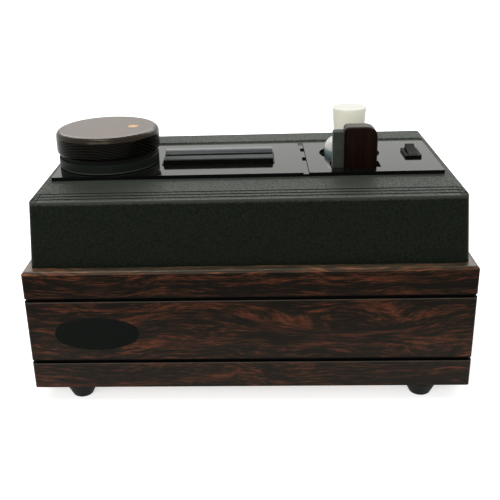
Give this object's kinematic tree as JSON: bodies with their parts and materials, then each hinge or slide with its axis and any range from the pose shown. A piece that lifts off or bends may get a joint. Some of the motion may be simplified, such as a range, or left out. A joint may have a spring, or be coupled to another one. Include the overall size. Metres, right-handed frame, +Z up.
{
  "type": "record cleaning machine",
  "caption": "Table-top vacuum record cleaning machine: wooden cabinet, black deck with capstan, wooden label cap, suction nozzle with velvet lips, bottle, brush and rocker switch.",
  "frame": {"origin": "centre of the cabinet on the plane that the feet stand on", "axes": "+X right, +Y towards the back, +Z up"},
  "size_m": [0.372, 0.2294, 0.2269],
  "materials": {
    "wood": "satin lacquer",
    "plywood": "raw",
    "cap_wood": "satin lacquer",
    "handle_wood": "satin lacquer",
    "cover": "fine grain",
    "deck": "high gloss",
    "black_plastic": "satin",
    "rubber": "matt",
    "velvet": "short pile",
    "steel": "satin",
    "aluminium": "satin",
    "brass": "satin",
    "copper_iron": "lacquered",
    "badge": "gloss",
    "inlay": "satin",
    "tank": "translucent",
    "bottle": "translucent",
    "stopper": "satin",
    "fluid": "clear",
    "plug": "matt"
  },
  "bodies": {
    "cabinet": {"front_board": "wood", "back_board": "wood", "left_board": "wood", "right_board": "wood", "bottom_panel": "plywood", "corner_posts": "plywood", "rubber_feet": "rubber", "foot_screws": "steel", "badge_plate": "badge", "deck_board": "plywood", "deck_screws": "brass", "top_cover": "cover", "plate_gaskets": "rubber", "left_deck_plate": "deck", "right_deck_plate": "deck", "plate_screws": "steel", "bearing_housing": "aluminium", "bearing_bushes": "brass", "drive_belt": "rubber", "gear_motor": "steel", "mechanism_screws": "steel", "nozzle_bar": "deck", "rear_velvet_lip": "velvet", "front_velvet_lip": "velvet", "waste_tank": "tank", "tank_lid": "tank", "inlet_gasket": "rubber", "fan_housing": "black_plastic", "suction_motor_shell": "steel", "motor_stator": "copper_iron", "motor_bearings": "steel", "motor_cradle": "steel", "rubber_mounts": "rubber", "drain_hose": "tank", "drain_fitting": "black_plastic", "rear_panel": "black_plastic", "power_inlet": "black_plastic", "exhaust_grille": "black_plastic", "wiring_loom": "black_plastic", "switch_body": "black_plastic", "accessory_holder": "black_plastic"},
    "capstan": {"capstan_shaft": "steel", "shaft_clip": "steel", "capstan_drum": "aluminium", "drive_ring": "rubber", "capstan_pulley": "black_plastic"},
    "motor_pulley": {"motor_pulley": "black_plastic"},
    "label_clamp": {"label_cap": "cap_wood", "cap_pad": "rubber", "cap_inlay": "inlay", "cap_bush": "brass"},
    "impeller": {"impeller": "aluminium", "motor_armature": "copper_iron"},
    "drain_plug": {"drain_plug": "plug"},
    "rocker": {"switch_rocker": "black_plastic"},
    "bottle": {"bottle": "bottle", "cleaning_fluid": "fluid"},
    "stopper": {"bottle_stopper": "stopper"},
    "brush": {"brush_handle": "handle_wood", "brush_pad": "velvet"}
  },
  "joints": [
    {"name": "capstan_spin", "type": "hinge", "parent": "cabinet", "child": "capstan", "pos_m": [-0.125, -0.001, 0.1525], "axis": [0, 0, 1], "continuous": true},
    {"name": "motor_pulley_spin", "type": "hinge", "parent": "cabinet", "child": "motor_pulley", "pos_m": [-0.125, -0.063, 0.1175], "axis": [0, 0, 1], "continuous": true},
    {"name": "label_clamp_lift", "type": "slide", "parent": "capstan", "child": "label_clamp", "axis": [0, 0, 1], "range_m": [0, 0.04]},
    {"name": "impeller_spin", "type": "hinge", "parent": "cabinet", "child": "impeller", "pos_m": [-0.02, -0.029, 0.0625], "axis": [0, 0, 1], "continuous": true},
    {"name": "drain_plug_pull", "type": "slide", "parent": "cabinet", "child": "drain_plug", "axis": [0, 1, 0], "range_m": [0, 0.02]},
    {"name": "rocker_tip", "type": "hinge", "parent": "cabinet", "child": "rocker", "pos_m": [0.1489, 0.004, 0.185], "axis": [1, 0, 0], "range_deg": [-24, 0]},
    {"name": "bottle_lift", "type": "slide", "parent": "cabinet", "child": "bottle", "axis": [0, 0, 1], "range_m": [0, 0.12]},
    {"name": "stopper_lift", "type": "slide", "parent": "bottle", "child": "stopper", "axis": [0, 0, 1], "range_m": [0, 0.03]},
    {"name": "brush_lift", "type": "slide", "parent": "cabinet", "child": "brush", "axis": [0, 0, 1], "range_m": [0, 0.1]}
  ],
  "couplings": [
    {"joint": "motor_pulley_spin", "follows": "capstan_spin", "ratio": 2.8841}
  ]
}
